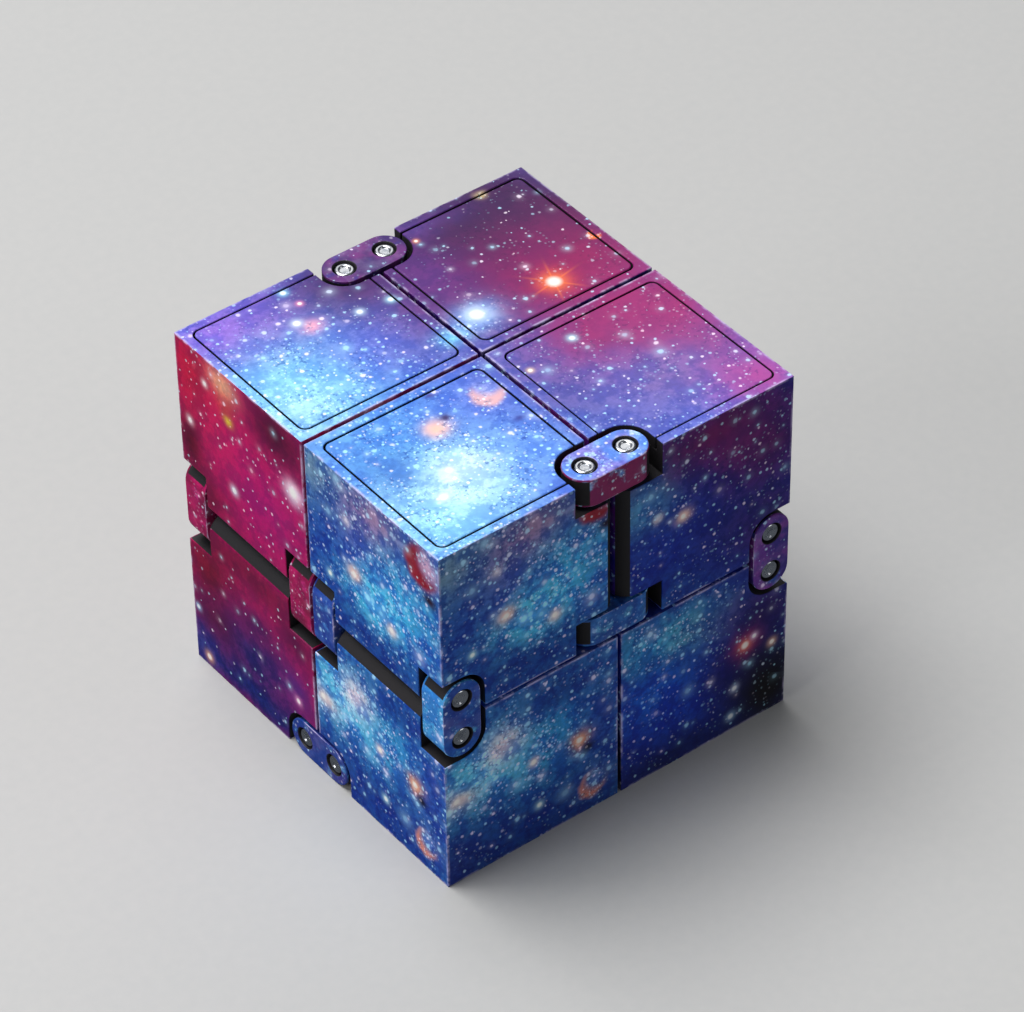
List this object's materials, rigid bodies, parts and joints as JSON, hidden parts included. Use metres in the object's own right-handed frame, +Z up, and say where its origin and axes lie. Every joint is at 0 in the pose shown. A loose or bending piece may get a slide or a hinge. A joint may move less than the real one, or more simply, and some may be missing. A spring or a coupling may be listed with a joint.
{
  "type": "folding fidget cube",
  "caption": "Pocket fidget cube of hollow plastic cubelets in a closed ring, joined by pinned links and folding without end.",
  "frame": {"origin": "centre of the closed cube's base, where it rests on a flat surface", "axes": "+Z up; the front face, with an upright hinge in its upper half, looks along -Y; +X to the right"},
  "size_m": [0.04, 0.04, 0.04],
  "materials": {
    "print_sky": "transfer-printed ABS under a satin clear coat",
    "print_pink": "transfer-printed ABS under a satin clear coat",
    "print_violet": "transfer-printed ABS under a satin clear coat",
    "print_plum": "transfer-printed ABS under a satin clear coat",
    "print_blue": "transfer-printed ABS under a satin clear coat",
    "print_navy": "transfer-printed ABS under a satin clear coat",
    "print_crimson": "transfer-printed ABS under a satin clear coat",
    "print_indigo": "transfer-printed ABS under a satin clear coat",
    "pin_steel": "bright dished rivet head"
  },
  "bodies": {
    "cubelet_upper_front_left": {"shell_upper_front_left": "print_sky", "lid_upper_front_left": "print_sky", "pins_upper_front_left": "pin_steel"},
    "cubelet_upper_front_right": {"shell_upper_front_right": "print_pink", "lid_upper_front_right": "print_pink", "pins_upper_front_right": "pin_steel"},
    "cubelet_upper_rear_left": {"shell_upper_rear_left": "print_violet", "lid_upper_rear_left": "print_violet", "pins_upper_rear_left": "pin_steel"},
    "cubelet_upper_rear_right": {"shell_upper_rear_right": "print_plum", "lid_upper_rear_right": "print_plum", "pins_upper_rear_right": "pin_steel"},
    "cubelet_lower_front_left": {"shell_lower_front_left": "print_blue", "lid_lower_front_left": "print_blue", "pins_lower_front_left": "pin_steel"},
    "cubelet_lower_front_right": {"shell_lower_front_right": "print_navy", "lid_lower_front_right": "print_navy", "pins_lower_front_right": "pin_steel"},
    "cubelet_lower_rear_left": {"shell_lower_rear_left": "print_crimson", "lid_lower_rear_left": "print_crimson", "pins_lower_rear_left": "pin_steel"},
    "cubelet_lower_rear_right": {"shell_lower_rear_right": "print_indigo", "lid_lower_rear_right": "print_indigo", "pins_lower_rear_right": "pin_steel"},
    "links_front": {"link_front_outer": "print_sky", "link_front_inner": "print_sky"},
    "links_rear": {"link_rear_outer": "print_violet", "link_rear_inner": "print_violet", "pins_open_pivot": "pin_steel"},
    "links_left_front": {"link_left_front_outer": "print_sky", "link_left_front_inner": "print_sky"},
    "links_left_rear": {"link_left_rear_outer": "print_violet", "link_left_rear_inner": "print_violet"},
    "links_right_front": {"link_right_front_outer": "print_pink", "link_right_front_inner": "print_pink"},
    "links_right_rear": {"link_right_rear_outer": "print_plum", "link_right_rear_inner": "print_plum"},
    "links_base_left": {"link_base_left_outer": "print_blue", "link_base_left_inner": "print_blue"},
    "links_base_right": {"link_base_right_outer": "print_navy", "link_base_right_inner": "print_navy"}
  },
  "joints": [
    {"name": "left_fold", "type": "hinge", "parent": "cubelet_upper_front_left", "child": "links_left_front", "pos_m": [-0.0179, -0.02, 0.0223], "axis": [0, 1, 0], "range_deg": [0, 90]},
    {"name": "left_front_lower_pivot", "type": "hinge", "parent": "links_left_front", "child": "cubelet_lower_front_left", "pos_m": [-0.0179, -0.02, 0.0177], "axis": [0, 1, 0], "range_deg": [0, 90]},
    {"name": "book_fold", "type": "hinge", "parent": "cubelet_lower_front_left", "child": "links_base_left", "pos_m": [-0.02, -0.0023, 0.0021], "axis": [-1, 0, 0], "range_deg": [0, 90]},
    {"name": "base_left_rear_pivot", "type": "hinge", "parent": "links_base_left", "child": "cubelet_lower_rear_left", "pos_m": [-0.02, 0.0023, 0.0021], "axis": [-1, 0, 0], "range_deg": [0, 90]},
    {"name": "left_rear_lower_pivot", "type": "hinge", "parent": "cubelet_lower_rear_left", "child": "links_left_rear", "pos_m": [-0.0179, 0.02, 0.0177], "axis": [0, -1, 0], "range_deg": [0, 90]},
    {"name": "left_rear_upper_pivot", "type": "hinge", "parent": "links_left_rear", "child": "cubelet_upper_rear_left", "pos_m": [-0.0179, 0.02, 0.0223], "axis": [0, -1, 0], "range_deg": [0, 90]},
    {"name": "rear_left_pivot", "type": "hinge", "parent": "cubelet_upper_rear_left", "child": "links_rear", "pos_m": [-0.0023, 0.0179, 0.04], "axis": [0, 0, 1], "range_deg": [0, 90]},
    {"name": "long_fold", "type": "hinge", "parent": "cubelet_upper_front_left", "child": "links_front", "pos_m": [-0.0023, -0.0179, 0.04], "axis": [0, 0, -1], "range_deg": [0, 90]},
    {"name": "front_right_pivot", "type": "hinge", "parent": "links_front", "child": "cubelet_upper_front_right", "pos_m": [0.0023, -0.0179, 0.04], "axis": [0, 0, -1], "range_deg": [0, 90]},
    {"name": "right_fold", "type": "hinge", "parent": "cubelet_upper_front_right", "child": "links_right_front", "pos_m": [0.0179, -0.02, 0.0223], "axis": [0, -1, 0], "range_deg": [0, 90]},
    {"name": "right_front_lower_pivot", "type": "hinge", "parent": "links_right_front", "child": "cubelet_lower_front_right", "pos_m": [0.0179, -0.02, 0.0177], "axis": [0, -1, 0], "range_deg": [0, 90]},
    {"name": "base_right_front_pivot", "type": "hinge", "parent": "cubelet_lower_front_right", "child": "links_base_right", "pos_m": [0.02, -0.0023, 0.0021], "axis": [-1, 0, 0], "range_deg": [0, 90]},
    {"name": "base_right_rear_pivot", "type": "hinge", "parent": "links_base_right", "child": "cubelet_lower_rear_right", "pos_m": [0.02, 0.0023, 0.0021], "axis": [-1, 0, 0], "range_deg": [0, 90]},
    {"name": "right_rear_lower_pivot", "type": "hinge", "parent": "cubelet_lower_rear_right", "child": "links_right_rear", "pos_m": [0.0179, 0.02, 0.0177], "axis": [0, 1, 0], "range_deg": [0, 90]},
    {"name": "right_rear_upper_pivot", "type": "hinge", "parent": "links_right_rear", "child": "cubelet_upper_rear_right", "pos_m": [0.0179, 0.02, 0.0223], "axis": [0, 1, 0], "range_deg": [0, 90]}
  ],
  "couplings": [
    {"joint": "left_front_lower_pivot", "follows": "left_fold", "ratio": 1},
    {"joint": "base_left_rear_pivot", "follows": "book_fold", "ratio": 1},
    {"joint": "left_rear_lower_pivot", "follows": "left_fold", "ratio": 1},
    {"joint": "left_rear_upper_pivot", "follows": "left_fold", "ratio": 1},
    {"joint": "rear_left_pivot", "follows": "long_fold", "ratio": 1},
    {"joint": "front_right_pivot", "follows": "long_fold", "ratio": 1},
    {"joint": "right_front_lower_pivot", "follows": "right_fold", "ratio": 1},
    {"joint": "base_right_front_pivot", "follows": "book_fold", "ratio": 1},
    {"joint": "base_right_rear_pivot", "follows": "book_fold", "ratio": 1},
    {"joint": "right_rear_lower_pivot", "follows": "right_fold", "ratio": 1},
    {"joint": "right_rear_upper_pivot", "follows": "right_fold", "ratio": 1}
  ]
}
